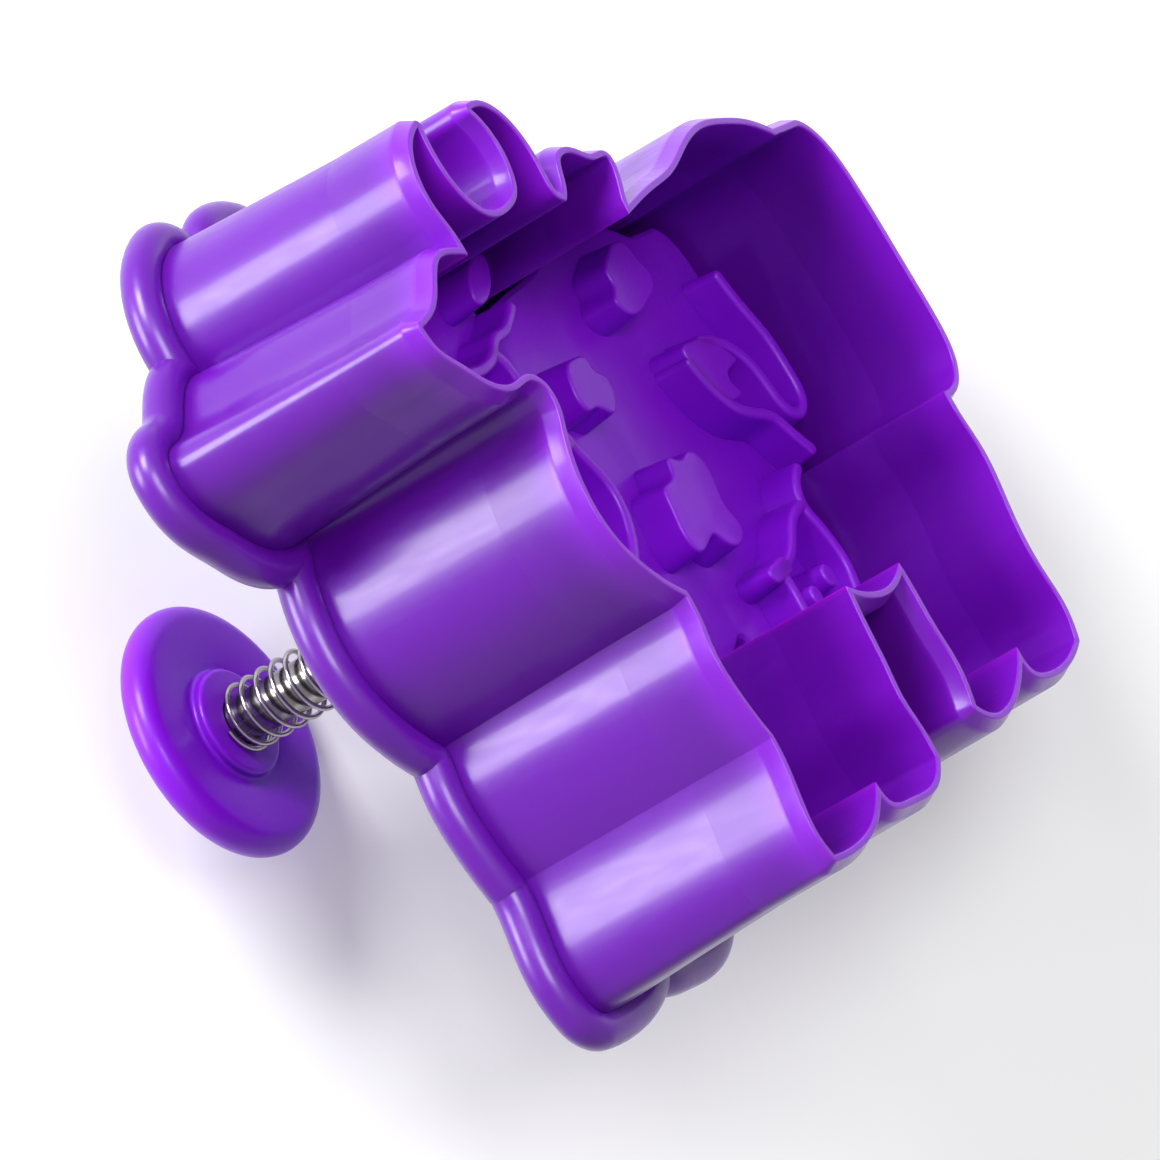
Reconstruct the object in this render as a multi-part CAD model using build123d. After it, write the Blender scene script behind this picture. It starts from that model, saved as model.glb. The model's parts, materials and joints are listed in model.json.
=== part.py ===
from build123d import *
import math
import os

import numpy as np

os.makedirs("parts", exist_ok=True)

# Millimetres. Z rises from the cutting edge to the push knob. The cow stands upright along +Y,
# with its head at +X. The part's origin is the middle of its footprint, on the cutting edge.

# Figure that the cutter cuts, measured inside the wall
figure_length = 69.5
figure_height = 66.3

# Outline of the figure, clockwise from the tip of the right horn, in smooth runs that meet at
# sharp corners: shares of the figure's length and height from its middle.
outline_shares = [
    # right horn, outer side
    [(0.270, 0.500), (0.305, 0.485), (0.328, 0.454), (0.335, 0.420), (0.331, 0.379), (0.333, 0.349)],
    # right ear, upper side
    [(0.333, 0.349), (0.359, 0.361), (0.387, 0.367), (0.408, 0.358), (0.444, 0.332), (0.500, 0.320)],
    # right ear, lower side, then cheek and muzzle
    [(0.500, 0.320), (0.499, 0.296), (0.473, 0.258), (0.443, 0.222), (0.405, 0.204), (0.366, 0.200),
     (0.346, 0.178), (0.348, 0.148), (0.368, 0.118), (0.392, 0.077), (0.404, 0.035), (0.402, -0.013),
     (0.382, -0.060), (0.341, -0.111)],
    # chest and front leg
    [(0.341, -0.111), (0.348, -0.150), (0.361, -0.184), (0.366, -0.227), (0.361, -0.294),
     (0.361, -0.330), (0.379, -0.375), (0.394, -0.426), (0.391, -0.454)],
    # front hooves
    [(0.391, -0.454), (0.341, -0.463), (0.286, -0.460), (0.227, -0.429)],
    [(0.227, -0.429), (0.223, -0.457), (0.185, -0.472), (0.109, -0.476), (0.084, -0.460)],
    # front leg, back side
    [(0.084, -0.460), (0.080, -0.428), (0.079, -0.380), (0.069, -0.343), (0.056, -0.289),
     (0.041, -0.238)],
    # belly
    [(0.041, -0.238), (0.005, -0.262), (-0.032, -0.273), (-0.090, -0.263)],
    # hind leg, front side
    [(-0.090, -0.263), (-0.088, -0.295), (-0.081, -0.348), (-0.077, -0.404), (-0.057, -0.452)],
    # hind hooves
    [(-0.057, -0.452), (-0.080, -0.473), (-0.118, -0.479), (-0.159, -0.469), (-0.211, -0.438)],
    [(-0.211, -0.438), (-0.213, -0.472), (-0.245, -0.488), (-0.303, -0.491), (-0.337, -0.482)],
    # hind leg, back side
    [(-0.337, -0.482), (-0.353, -0.446), (-0.356, -0.393), (-0.370, -0.318), (-0.395, -0.235),
     (-0.396, -0.185), (-0.400, -0.152)],
    # tail
    [(-0.400, -0.152), (-0.436, -0.150), (-0.462, -0.126), (-0.475, -0.084), (-0.482, -0.016),
     (-0.491, 0.117), (-0.484, 0.174), (-0.465, 0.204), (-0.458, 0.209)],
    # rump
    [(-0.458, 0.209), (-0.400, 0.219)],
    # back
    [(-0.400, 0.219), (-0.357, 0.251), (-0.316, 0.269), (-0.265, 0.283), (-0.221, 0.281),
     (-0.150, 0.266), (-0.095, 0.266), (-0.016, 0.263)],
    # left ear
    [(-0.016, 0.263), (-0.018, 0.275), (-0.036, 0.304), (-0.044, 0.331), (-0.019, 0.338),
     (0.004, 0.352), (0.025, 0.365), (0.047, 0.364), (0.057, 0.353), (0.076, 0.329), (0.086, 0.323)],
    # left horn, outer side
    [(0.086, 0.323), (0.100, 0.334), (0.099, 0.370), (0.096, 0.412), (0.106, 0.448), (0.126, 0.470),
     (0.151, 0.477)],
    # between the horns
    [(0.151, 0.477), (0.141, 0.442), (0.145, 0.403), (0.169, 0.367), (0.205, 0.358), (0.247, 0.367),
     (0.274, 0.403), (0.280, 0.456), (0.270, 0.500)],
]
curve_samples = 200
curve_stride = 12
keep_share = 0.9995
straight_share = 0.99999
notch_angle = 10

# Cutter shell
edge_thickness = 0.6
bevel_height = 1.3
bevel_thickness = 1.15
crease_height = 7.8
crease_thickness = 1.25
wall_top_thickness = 2.1
bead_radius = 1.6
bead_reach = 3.05
bead_height = 25.7
deck_thickness = 2.2
deck_sink = 0.6
guide_boss_radius = 4.6
guide_boss_length = 2.4

# Plunger pin, which slides in the deck
pin_radius = 2.0
pin_chamfer = 0.3
pin_running_clearance = 0.08
axis_drop = 1.2
rest_gap = 0.1

# Stamp plate
plate_clearance = 1.0
plate_face_height = 15.8
plate_thickness = 2.2
plate_bevel = 0.3
pin_floor = 1.0
plate_boss_radius = 4.6
relief_height = 3.3
relief_margin = 0.1
ridge_width = 1.1

# Raised picture, in shares of the figure's length and height from its middle
patch_shares = [
    # back
    [(-0.240, 0.214), (-0.216, 0.200), (-0.213, 0.183), (-0.197, 0.168), (-0.205, 0.146),
     (-0.232, 0.135), (-0.262, 0.140), (-0.290, 0.148), (-0.299, 0.166), (-0.292, 0.190),
     (-0.288, 0.212), (-0.265, 0.221)],
    # shoulder
    [(-0.019, 0.144), (-0.048, 0.148), (-0.070, 0.136), (-0.069, 0.122), (-0.083, 0.109),
     (-0.084, 0.093), (-0.052, 0.066), (-0.030, 0.084), (-0.008, 0.088), (-0.002, 0.108),
     (-0.008, 0.128)],
    # belly
    [(-0.097, -0.017), (-0.086, -0.036), (-0.054, -0.041), (-0.043, -0.066), (-0.034, -0.094),
     (-0.040, -0.127), (-0.068, -0.128), (-0.092, -0.125), (-0.103, -0.140), (-0.128, -0.155),
     (-0.152, -0.142), (-0.148, -0.110), (-0.156, -0.080), (-0.162, -0.044), (-0.145, -0.027),
     (-0.121, -0.029)],
    # tail brush
    [(-0.265, 0.069), (-0.295, 0.068), (-0.326, 0.059), (-0.347, 0.034), (-0.356, 0.014),
     (-0.322, 0.008), (-0.317, -0.004), (-0.325, -0.019), (-0.304, -0.022), (-0.284, -0.010),
     (-0.272, 0.012), (-0.263, 0.045)],
    # end of the udder line
    [(-0.146, -0.204), (-0.168, -0.198), (-0.198, -0.205), (-0.200, -0.219), (-0.174, -0.224),
     (-0.149, -0.218)],
]
ridge_shares = [
    # tail
    [(-0.432, 0.105), (-0.439, 0.060), (-0.450, 0.010), (-0.449, -0.040), (-0.438, -0.078),
     (-0.413, -0.087), (-0.394, -0.070), (-0.388, -0.035), (-0.379, 0.008), (-0.350, 0.042),
     (-0.312, 0.060)],
    # rump and thigh
    [(-0.266, 0.050), (-0.271, 0.025), (-0.281, -0.003), (-0.300, -0.031), (-0.332, -0.053),
     (-0.358, -0.069), (-0.374, -0.097), (-0.392, -0.130)],
    # far hind leg
    [(-0.331, -0.133), (-0.311, -0.154), (-0.300, -0.175), (-0.305, -0.202), (-0.309, -0.262),
     (-0.302, -0.320), (-0.268, -0.380), (-0.228, -0.418)],
    # udder
    [(-0.300, -0.172), (-0.262, -0.174), (-0.235, -0.186), (-0.206, -0.206), (-0.172, -0.211)],
    # near hind leg
    [(-0.176, -0.216), (-0.179, -0.240), (-0.176, -0.275), (-0.184, -0.340), (-0.200, -0.410)],
    # side of the head
    [(0.094, 0.212), (0.082, 0.190), (0.082, 0.165), (0.072, 0.120), (0.053, 0.055), (0.040, 0.008),
     (0.050, -0.040), (0.084, -0.080), (0.140, -0.112), (0.210, -0.126), (0.275, -0.118),
     (0.330, -0.092)],
    # left ear, lower side, and brow
    [(-0.002, 0.254), (0.022, 0.240), (0.052, 0.236), (0.086, 0.228), (0.118, 0.220),
     (0.158, 0.216)],
    # right brow
    [(0.342, 0.214), (0.318, 0.222), (0.285, 0.216)],
    # top of the muzzle
    [(0.064, 0.074), (0.120, 0.098), (0.185, 0.105), (0.258, 0.105), (0.320, 0.094), (0.370, 0.072)],
    # mouth
    [(0.150, -0.050), (0.185, -0.066), (0.221, -0.070), (0.258, -0.066), (0.292, -0.050)],
    # front legs
    [(0.200, -0.190), (0.212, -0.260), (0.222, -0.330), (0.227, -0.400)],
]
spot_shares = [
    # inner ears
    [(0.028, 0.292), (0.036, 0.022), 12],
    [(0.415, 0.286), (0.038, 0.022), -12],
    # eyes
    [(0.160, 0.172), (0.017, 0.024), 0],
    [(0.284, 0.172), (0.017, 0.024), 0],
    # nostrils
    [(0.155, 0.034), (0.024, 0.017), 15],
    [(0.288, 0.034), (0.024, 0.017), -15],
    # teats
    [(-0.264, -0.256), (0.012, 0.015), 0],
    [(-0.210, -0.264), (0.012, 0.015), 0],
]

# Return spring
wire_diameter = 0.45
spring_outer_diameter = 5.9
spring_turns = 18
end_turns = 1
end_pitch = 0.9
arcs_per_turn = 4
spring_seat_gap = 0.02

# Push knob
knob_radius = 11.0
knob_edge_radius = 1.6
knob_height = 57.2
knob_top_dish = 0.5
knob_dish_height = 0.5
knob_ring_radius = 4.7
knob_ring_rounding = 0.4
knob_ring_drop = 2.2
knob_socket_depth = 2.4

overrun = 1.0

# Heights that follow from the sizes above
deck_top = bead_height + bead_radius - deck_sink
deck_underside = deck_top - deck_thickness
guide_boss_end = deck_underside - guide_boss_length
plate_back = plate_face_height + plate_thickness
plate_boss_top = guide_boss_end - rest_gap
pin_bottom = plate_face_height + pin_floor
knob_ring_face = knob_height - knob_ring_drop
pin_top = knob_ring_face + knob_socket_depth
axis_place = (0, -axis_drop)


def place(share):
    """A point of the figure from its shares of the length and height."""
    return (share[0] * figure_length, share[1] * figure_height)


def curve_through(shares):
    """One smooth curve through a run of points, or a straight line through two."""
    points = [place(share) for share in shares]
    if len(points) == 2:
        return Line(*points)
    return Spline(*points)


def sampled(curve):
    """Points along a curve and its direction at each, as two arrays."""
    steps = [k / curve_samples for k in range(curve_samples + 1)]
    points = [curve.position_at(step) for step in steps]
    ways = [curve.tangent_at(step) for step in steps]
    return np.array([(p.X, p.Y) for p in points]), np.array([(w.X, w.Y) for w in ways])


outline_curves = [curve_through(shares) for shares in outline_shares]
outline_samples = [sampled(curve) for curve in outline_curves]
outline_points = np.vstack([points for points, ways in outline_samples])


def corner_arc(corner, way_in, way_out, distance):
    """Points round a corner at a steady distance, or none where the moved sides cross instead."""
    turn = math.atan2(way_in[0] * way_out[1] - way_in[1] * way_out[0], way_in @ way_out)
    if turn * distance >= 0:
        return None
    start = math.atan2(way_in[0], -way_in[1])
    angles = start + turn * np.linspace(0, 1, curve_samples + 1)
    return corner + distance * np.stack([np.cos(angles), np.sin(angles)], axis=1)


def moved_runs(distance):
    """The outline's runs and corner arcs, moved outwards by a distance before they are trimmed."""
    runs = []
    count = len(outline_samples)
    for index, (points, ways) in enumerate(outline_samples):
        outwards = np.stack([-ways[:, 1], ways[:, 0]], axis=1)
        runs.append(points + distance * outwards)
        next_way = outline_samples[(index + 1) % count][1][0]
        arc = corner_arc(points[-1], ways[-1], next_way, distance)
        if arc is not None:
            runs.append(arc)
    return runs


def clear_stretches(run, distance):
    """The stretches of a moved run that lie no nearer to the outline than the distance."""
    gaps = np.linalg.norm(run[:, None, :] - outline_points[None], axis=2).min(axis=1)
    clear = gaps >= abs(distance) * keep_share
    edges = np.flatnonzero(np.diff(np.concatenate([[False], clear, [False]])))
    return [run[a:b] for a, b in zip(edges[::2], edges[1::2]) if b - a > 5]


def crossing(a, b, c, d):
    """Where the line through a and b meets the line through c and d."""
    first = b - a
    second = d - c
    scale = first[0] * second[1] - first[1] * second[0]
    share = ((c[0] - a[0]) * second[1] - (c[1] - a[1]) * second[0]) / scale
    return a + first * share


def linked(stretches):
    """The stretches that follow each other round the outside, each with its nearest next one."""
    loop = [0]
    while True:
        end = stretches[loop[-1]][-1]
        gaps = [np.linalg.norm(stretch[0] - end) for stretch in stretches]
        gaps[loop[-1]] = math.inf
        following = int(np.argmin(gaps))
        if following == 0:
            return [stretches[index] for index in loop]
        loop.append(following)


def moved_outline(distance):
    """The edges of the outline moved outwards by a distance, or inwards by a negative one."""
    stretches = []
    for run in moved_runs(distance):
        stretches.extend(clear_stretches(run, distance))
    stretches = linked(stretches)
    corners = []
    for index, stretch in enumerate(stretches):
        before = stretches[index - 1]
        if np.linalg.norm(before[-1] - stretch[0]) < abs(distance) * (1 - keep_share):
            corners.append(stretch[0])
        else:
            corners.append(crossing(before[-2], before[-1], stretch[0], stretch[1]))
    edges = []
    for index, stretch in enumerate(stretches):
        start = corners[index]
        end = corners[(index + 1) % len(corners)]
        edges.append(edge_through(start, stretch[2:-2], end))
    return edges


def edge_through(start, inner, end):
    """One edge from start to end, a line where the points between them lie straight."""
    count = max(1, round(len(inner) / curve_stride) - 1)
    picks = np.linspace(0, len(inner) - 1, count + 2).round().astype(int)[1:-1]
    curve = Spline(tuple(start), *[tuple(inner[pick]) for pick in picks], tuple(end))
    if (curve @ 1 - curve @ 0).length > curve.length * straight_share:
        return Line(tuple(start), tuple(end))
    return curve


def level(distance, height):
    """A face with the moved outline, at a height."""
    return Pos(0, 0, height) * make_face(moved_outline(distance))


def prism(distance, bottom, top):
    """A straight solid with the moved outline, from one height to another."""
    edges = moved_outline(distance) if distance else outline_curves
    return Pos(0, 0, bottom) * extrude(make_face(edges), top - bottom)


def bead_chains():
    """The bead's centre line as smooth chains of edges that meet in sharp notches."""
    edges = moved_outline(bead_reach)
    chains = [[]]
    for index, edge in enumerate(edges):
        chains[-1].append(edge)
        following = edges[(index + 1) % len(edges)]
        if (edge % 1).get_angle(following % 0) > notch_angle:
            chains.append([])
    chains[0] = chains.pop() + chains[0]
    return [Pos(0, 0, bead_height) * Wire(chain) for chain in chains]


def cutter_shell():
    """The cutting wall, the deck with its bead, and the guide boss for the pin."""
    middle_thickness = (crease_thickness + wall_top_thickness) / 2
    middle_height = (crease_height + bead_height) / 2
    wall = loft([level(edge_thickness, 0), level(bevel_thickness, bevel_height),
                 level(crease_thickness, crease_height), level(middle_thickness, middle_height),
                 level(wall_top_thickness, bead_height)], ruled=True)
    shell = prism(bead_reach, deck_underside, deck_top)
    for path in bead_chains():
        start = Plane(origin=path @ 0, z_dir=path % 0)
        shell += sweep(start * Circle(bead_radius), path=path)
    shell += wall
    shell -= prism(0, -overrun, deck_underside)
    boss_height = deck_underside - guide_boss_end + overrun
    shell += Pos(*axis_place, guide_boss_end + boss_height / 2) * Cylinder(guide_boss_radius, boss_height)
    bore_height = deck_top - guide_boss_end + 2 * overrun
    bore_middle = (deck_top + guide_boss_end) / 2
    bore = Cylinder(pin_radius + pin_running_clearance, bore_height)
    return shell - Pos(*axis_place, bore_middle) * bore


def ridge(shares):
    """The top view of a raised line with round ends."""
    curve = curve_through(shares)
    line = trace(curve, line_width=ridge_width)
    ends = [Pos(*place(share)) * Circle(ridge_width / 2) for share in (shares[0], shares[-1])]
    return line + ends


def picture():
    """The top view of all raised shapes, kept inside the plate's edge."""
    shapes = [make_face(Spline(*[place(share) for share in shares], periodic=True))
              for shares in patch_shares]
    shapes += [ridge(shares) for shares in ridge_shares]
    for middle, half, angle in spot_shares:
        half_x, half_y = place(half)
        shapes.append(Pos(*place(middle)) * Rot(0, 0, angle) * Ellipse(half_x, half_y))
    inside = make_face(moved_outline(-plate_clearance - plate_bevel - relief_margin))
    return Sketch() + shapes & inside


def stamp_plate():
    """The sliding plate with its raised picture below and the pin's boss above."""
    plate = prism(-plate_clearance, plate_face_height, plate_back)
    plate = chamfer(plate.faces().sort_by(Axis.Z)[0].edges(), plate_bevel)
    relief_top = (plate_face_height + plate_back) / 2
    relief_bottom = plate_face_height - relief_height
    plate += Pos(0, 0, relief_bottom) * extrude(picture(), relief_top - relief_bottom)
    boss_height = plate_boss_top - plate_back + plate_thickness / 2
    boss_middle = plate_boss_top - boss_height / 2
    plate += Pos(*axis_place, boss_middle) * Cylinder(plate_boss_radius, boss_height)
    socket_height = plate_boss_top + overrun - pin_bottom
    return plate - Pos(*axis_place, pin_bottom + socket_height / 2) * Cylinder(pin_radius, socket_height)


def plunger_pin():
    """The steel pin that joins the plate to the knob."""
    length = pin_top - pin_bottom
    pin = Pos(*axis_place, pin_bottom + length / 2) * Cylinder(pin_radius, length)
    return chamfer(pin.edges().filter_by(GeomType.CIRCLE), pin_chamfer)


def spring_height(turn):
    """Height of the wire's middle after a number of turns, with close turns at both ends."""
    bottom = deck_top + wire_diameter / 2 + spring_seat_gap
    top = knob_ring_face - wire_diameter / 2 - spring_seat_gap
    end_rise = end_turns * end_pitch
    pitch = (top - bottom - 2 * end_rise) / (spring_turns - 2 * end_turns)
    if turn <= end_turns:
        return bottom + turn * end_pitch
    if turn >= spring_turns - end_turns:
        return top - (spring_turns - turn) * end_pitch
    return bottom + end_rise + (turn - end_turns) * pitch


def spring_point(turn):
    """The wire's middle and its direction after a number of turns."""
    radius = (spring_outer_diameter - wire_diameter) / 2
    angle = turn * 2 * math.pi
    step = 1 / (2 * arcs_per_turn)
    low = max(turn - step, 0)
    high = min(turn + step, spring_turns)
    rise = (spring_height(high) - spring_height(low)) / (high - low) / (2 * math.pi)
    point = Vector(radius * math.cos(angle), radius * math.sin(angle), spring_height(turn))
    way = Vector(-radius * math.sin(angle), radius * math.cos(angle), rise).normalized()
    return point, way


def biarc(start, way_in, end, way_out):
    """Two arcs that leave the start and reach the end along the given directions."""
    span = end - start
    ways = way_in + way_out
    turn = 2 * (1 - way_in.dot(way_out))
    along = span.dot(ways)
    reach = (math.sqrt(along * along + turn * span.dot(span)) - along) / turn
    joint = (start + end + (way_in - way_out) * reach) / 2
    first = TangentArc(start, joint, tangent=way_in)
    return [first, TangentArc(joint, end, tangent=first % 1)]


def least_gap(path):
    """The least space between the spring's turns, from points along its middle line."""
    steps = spring_turns * 24
    places = []
    for step in range(steps + 1):
        point = path.position_at(path.length * step / steps, position_mode=PositionMode.LENGTH)
        places.append((point.X, point.Y, point.Z))
    places = np.array(places)
    distances = np.linalg.norm(places[:, None, :] - places[None], axis=2)
    apart = np.abs(np.subtract.outer(np.arange(steps + 1), np.arange(steps + 1))) > 12
    return distances[apart].min() - wire_diameter


def return_spring():
    """The steel compression spring between the deck and the knob's ring."""
    stops = [spring_point(index / 2) for index in range(2 * spring_turns + 1)]
    arcs = []
    for (start, way_in), (end, way_out) in zip(stops, stops[1:]):
        arcs.extend(biarc(start, way_in, end, way_out))
    path = Pos(*axis_place, 0) * Wire(arcs)
    print(f"least gap between the spring's turns {least_gap(path):.2f} mm")
    section = Plane(origin=path @ 0, z_dir=path % 0) * Circle(wire_diameter / 2)
    return sweep(section, path=path)


def push_knob():
    """The round knob, turned about the pin: full-round edge, dished faces and the spring's ring."""
    edge_middle = knob_radius - knob_edge_radius
    top = knob_height + knob_edge_radius
    bottom = knob_height - knob_edge_radius
    ring_root = bottom + knob_dish_height + knob_edge_radius / 2
    profile = make_face([
        Line((0, pin_top), (pin_radius, pin_top)),
        Line((pin_radius, pin_top), (pin_radius, knob_ring_face)),
        Line((pin_radius, knob_ring_face), (knob_ring_radius - knob_ring_rounding, knob_ring_face)),
        RadiusArc((knob_ring_radius - knob_ring_rounding, knob_ring_face),
                  (knob_ring_radius, knob_ring_face + knob_ring_rounding), -knob_ring_rounding),
        Line((knob_ring_radius, knob_ring_face + knob_ring_rounding), (knob_ring_radius, ring_root)),
        TangentArc((edge_middle, bottom), (knob_ring_radius, ring_root), tangent=(-1, 0)),
        ThreePointArc((edge_middle, bottom), (knob_radius, knob_height), (edge_middle, top)),
        Spline((edge_middle, top), (0, top - knob_top_dish), tangents=((-1, 0), (-1, 0))),
        Line((0, top - knob_top_dish), (0, pin_top)),
    ])
    return Pos(*axis_place, 0) * revolve(Plane.XZ * profile, Axis.Z)


nodes = {
    "cutter_shell": cutter_shell(),
    "stamp_plate": stamp_plate(),
    "plunger_pin": plunger_pin(),
    "return_spring": return_spring(),
    "push_knob": push_knob(),
}
footprint = nodes["cutter_shell"].bounding_box().center()
to_origin = Pos(-footprint.X, -footprint.Y, 0)
for name, solid in nodes.items():
    export_step(to_origin * solid, f"parts/{name}.step")
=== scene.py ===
import json
import math

import bmesh
import bpy
import numpy as np
from mathutils import Matrix, Vector


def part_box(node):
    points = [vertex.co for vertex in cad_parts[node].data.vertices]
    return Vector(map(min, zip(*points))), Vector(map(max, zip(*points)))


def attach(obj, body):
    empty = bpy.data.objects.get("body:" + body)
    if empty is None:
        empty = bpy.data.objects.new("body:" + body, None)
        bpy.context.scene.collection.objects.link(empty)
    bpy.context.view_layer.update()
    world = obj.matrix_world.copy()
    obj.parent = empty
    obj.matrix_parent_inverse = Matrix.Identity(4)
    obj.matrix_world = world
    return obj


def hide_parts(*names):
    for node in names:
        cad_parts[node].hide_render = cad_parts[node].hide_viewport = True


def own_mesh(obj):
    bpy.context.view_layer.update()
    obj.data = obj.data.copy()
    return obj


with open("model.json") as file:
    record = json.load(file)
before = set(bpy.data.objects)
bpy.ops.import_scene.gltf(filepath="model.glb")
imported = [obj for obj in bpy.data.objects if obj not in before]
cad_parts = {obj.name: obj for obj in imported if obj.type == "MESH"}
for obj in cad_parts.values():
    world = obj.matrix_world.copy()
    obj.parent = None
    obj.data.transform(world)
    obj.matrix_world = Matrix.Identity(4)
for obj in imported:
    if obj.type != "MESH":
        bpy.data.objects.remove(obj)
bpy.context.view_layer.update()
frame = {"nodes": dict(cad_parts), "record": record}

# Sizes are millimetres until a mesh is made, in the frame of the solids: Z rises from the cutting
# edge to the push knob.
MM = 0.001
same_point = 1e-7
sharp_angle = 32

# Figure that the cutter cuts
figure_length = 69.5
figure_height = 66.3
axis_drop = 1.2
pin_low, pin_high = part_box("plunger_pin")
pin_x = (pin_low.x + pin_high.x) / 2 / MM
pin_y = (pin_low.y + pin_high.y) / 2 / MM
figure_middle = np.array([pin_x, pin_y + axis_drop])

# Outline, clockwise from the tip of the right horn, in smooth runs: shares of length and height
outline_shares = [
    # right horn, outer side
    [(0.270, 0.500), (0.305, 0.485), (0.328, 0.454), (0.335, 0.420), (0.331, 0.379), (0.333, 0.349)],
    # right ear, upper side
    [(0.333, 0.349), (0.359, 0.361), (0.387, 0.367), (0.408, 0.358), (0.444, 0.332), (0.500, 0.320)],
    # right ear, lower side, then cheek and muzzle
    [(0.500, 0.320), (0.499, 0.296), (0.473, 0.258), (0.443, 0.222), (0.405, 0.204), (0.366, 0.200),
     (0.346, 0.178), (0.348, 0.148), (0.368, 0.118), (0.392, 0.077), (0.404, 0.035), (0.402, -0.013),
     (0.382, -0.060), (0.341, -0.111)],
    # chest, then front leg
    [(0.341, -0.111), (0.348, -0.150), (0.361, -0.184), (0.366, -0.227), (0.364, -0.266),
     (0.358, -0.303)],
    [(0.358, -0.303), (0.364, -0.334), (0.379, -0.375), (0.394, -0.426), (0.391, -0.454)],
    # front hooves
    [(0.391, -0.454), (0.341, -0.463), (0.286, -0.460), (0.227, -0.429)],
    [(0.227, -0.429), (0.223, -0.457), (0.185, -0.472), (0.109, -0.476), (0.084, -0.460)],
    # front leg, back side
    [(0.084, -0.460), (0.080, -0.428), (0.079, -0.380), (0.069, -0.343), (0.056, -0.289),
     (0.041, -0.238)],
    # belly
    [(0.041, -0.238), (0.005, -0.262), (-0.032, -0.273), (-0.090, -0.263)],
    # hind leg, front side
    [(-0.090, -0.263), (-0.088, -0.295), (-0.081, -0.348), (-0.077, -0.404), (-0.057, -0.452)],
    # hind hooves
    [(-0.057, -0.452), (-0.080, -0.473), (-0.118, -0.479), (-0.159, -0.469), (-0.211, -0.438)],
    [(-0.211, -0.438), (-0.213, -0.472), (-0.245, -0.488), (-0.303, -0.491), (-0.337, -0.482)],
    # hind leg, back side
    [(-0.337, -0.482), (-0.353, -0.446), (-0.356, -0.393), (-0.370, -0.318), (-0.395, -0.235),
     (-0.396, -0.185), (-0.400, -0.152)],
    # tail
    [(-0.400, -0.152), (-0.436, -0.150), (-0.462, -0.126), (-0.475, -0.084), (-0.482, -0.016),
     (-0.491, 0.117), (-0.484, 0.174), (-0.465, 0.204), (-0.458, 0.209)],
    # rump
    [(-0.458, 0.209), (-0.400, 0.219)],
    # back
    [(-0.400, 0.219), (-0.357, 0.251), (-0.316, 0.269), (-0.265, 0.283), (-0.221, 0.281),
     (-0.150, 0.266), (-0.095, 0.266), (-0.016, 0.263)],
    # left ear
    [(-0.016, 0.263), (-0.018, 0.275), (-0.036, 0.304), (-0.044, 0.331), (-0.019, 0.338),
     (0.004, 0.352), (0.025, 0.365), (0.047, 0.364), (0.057, 0.353), (0.076, 0.329), (0.086, 0.323)],
    # left horn, outer side
    [(0.086, 0.323), (0.100, 0.334), (0.099, 0.370), (0.096, 0.412), (0.106, 0.448), (0.126, 0.470),
     (0.151, 0.477)],
    # between the horns
    [(0.151, 0.477), (0.141, 0.442), (0.145, 0.403), (0.169, 0.367), (0.205, 0.358), (0.247, 0.367),
     (0.274, 0.403), (0.280, 0.456), (0.270, 0.500)],
]
outline_spacing = 0.25
corner_steps = 12
clear_share = 0.985
least_stretch = 2
parallel_share = 1e-6

# Cutter shell
edge_thickness = 0.6
edge_rounding = 0.14
edge_flat_margin = 0.02
edge_steps = 6
# glow_height: where the painted edge glow, standing in for light through the thin wall, fades out
glow_height = 4.5
bevel_height = 1.3
bevel_thickness = 1.15
bevel_start = (0.05, 0.12)
bevel_end = (0.01, 0.4)
crease_height = 7.8
crease_thickness = 1.25
crease_blend = 0.15
wall_top_thickness = 2.1
bead_radius = 1.6
bead_reach = 3.05
bead_height = 25.7
bead_steps = 22
bead_wrap_angle = 14
deck_top = 26.7
deck_underside = 24.5
guide_boss_radius = 4.6
guide_boss_end = 22.1
guide_boss_chamfer = 0.2
bore_radius = 2.08
bore_lower_chamfer = 0.15
bore_upper_chamfer = 0.2

# Stamp plate
plate_clearance = 1.0
plate_face_height = 15.8
plate_back = 18.0
plate_bevel = 0.4
plate_bevel_low = (0.06, 0.03)
plate_bevel_high = (0.05, 0.08)
plate_back_rounding = 0.2
plate_back_middle = 0.06
plate_boss_radius = 4.6
plate_boss_top = 22.0
plate_boss_fillet = 0.4
plate_boss_fillet_middle = 0.1
plate_boss_chamfer = 0.25
relief_face = 12.5
relief_draft = 0.35
patch_rounding = 0.3
ridge_rounding = 0.42
relief_margin = 0.08
relief_spacing = 0.15
relief_smoothing = 6
rounding_steps = 6
foot_sink = 0.03
face_step = 0.002
ridge_width = 1.1
ridge_end_steps = 14
spot_steps = 56
pin_radius = 2.0

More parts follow.
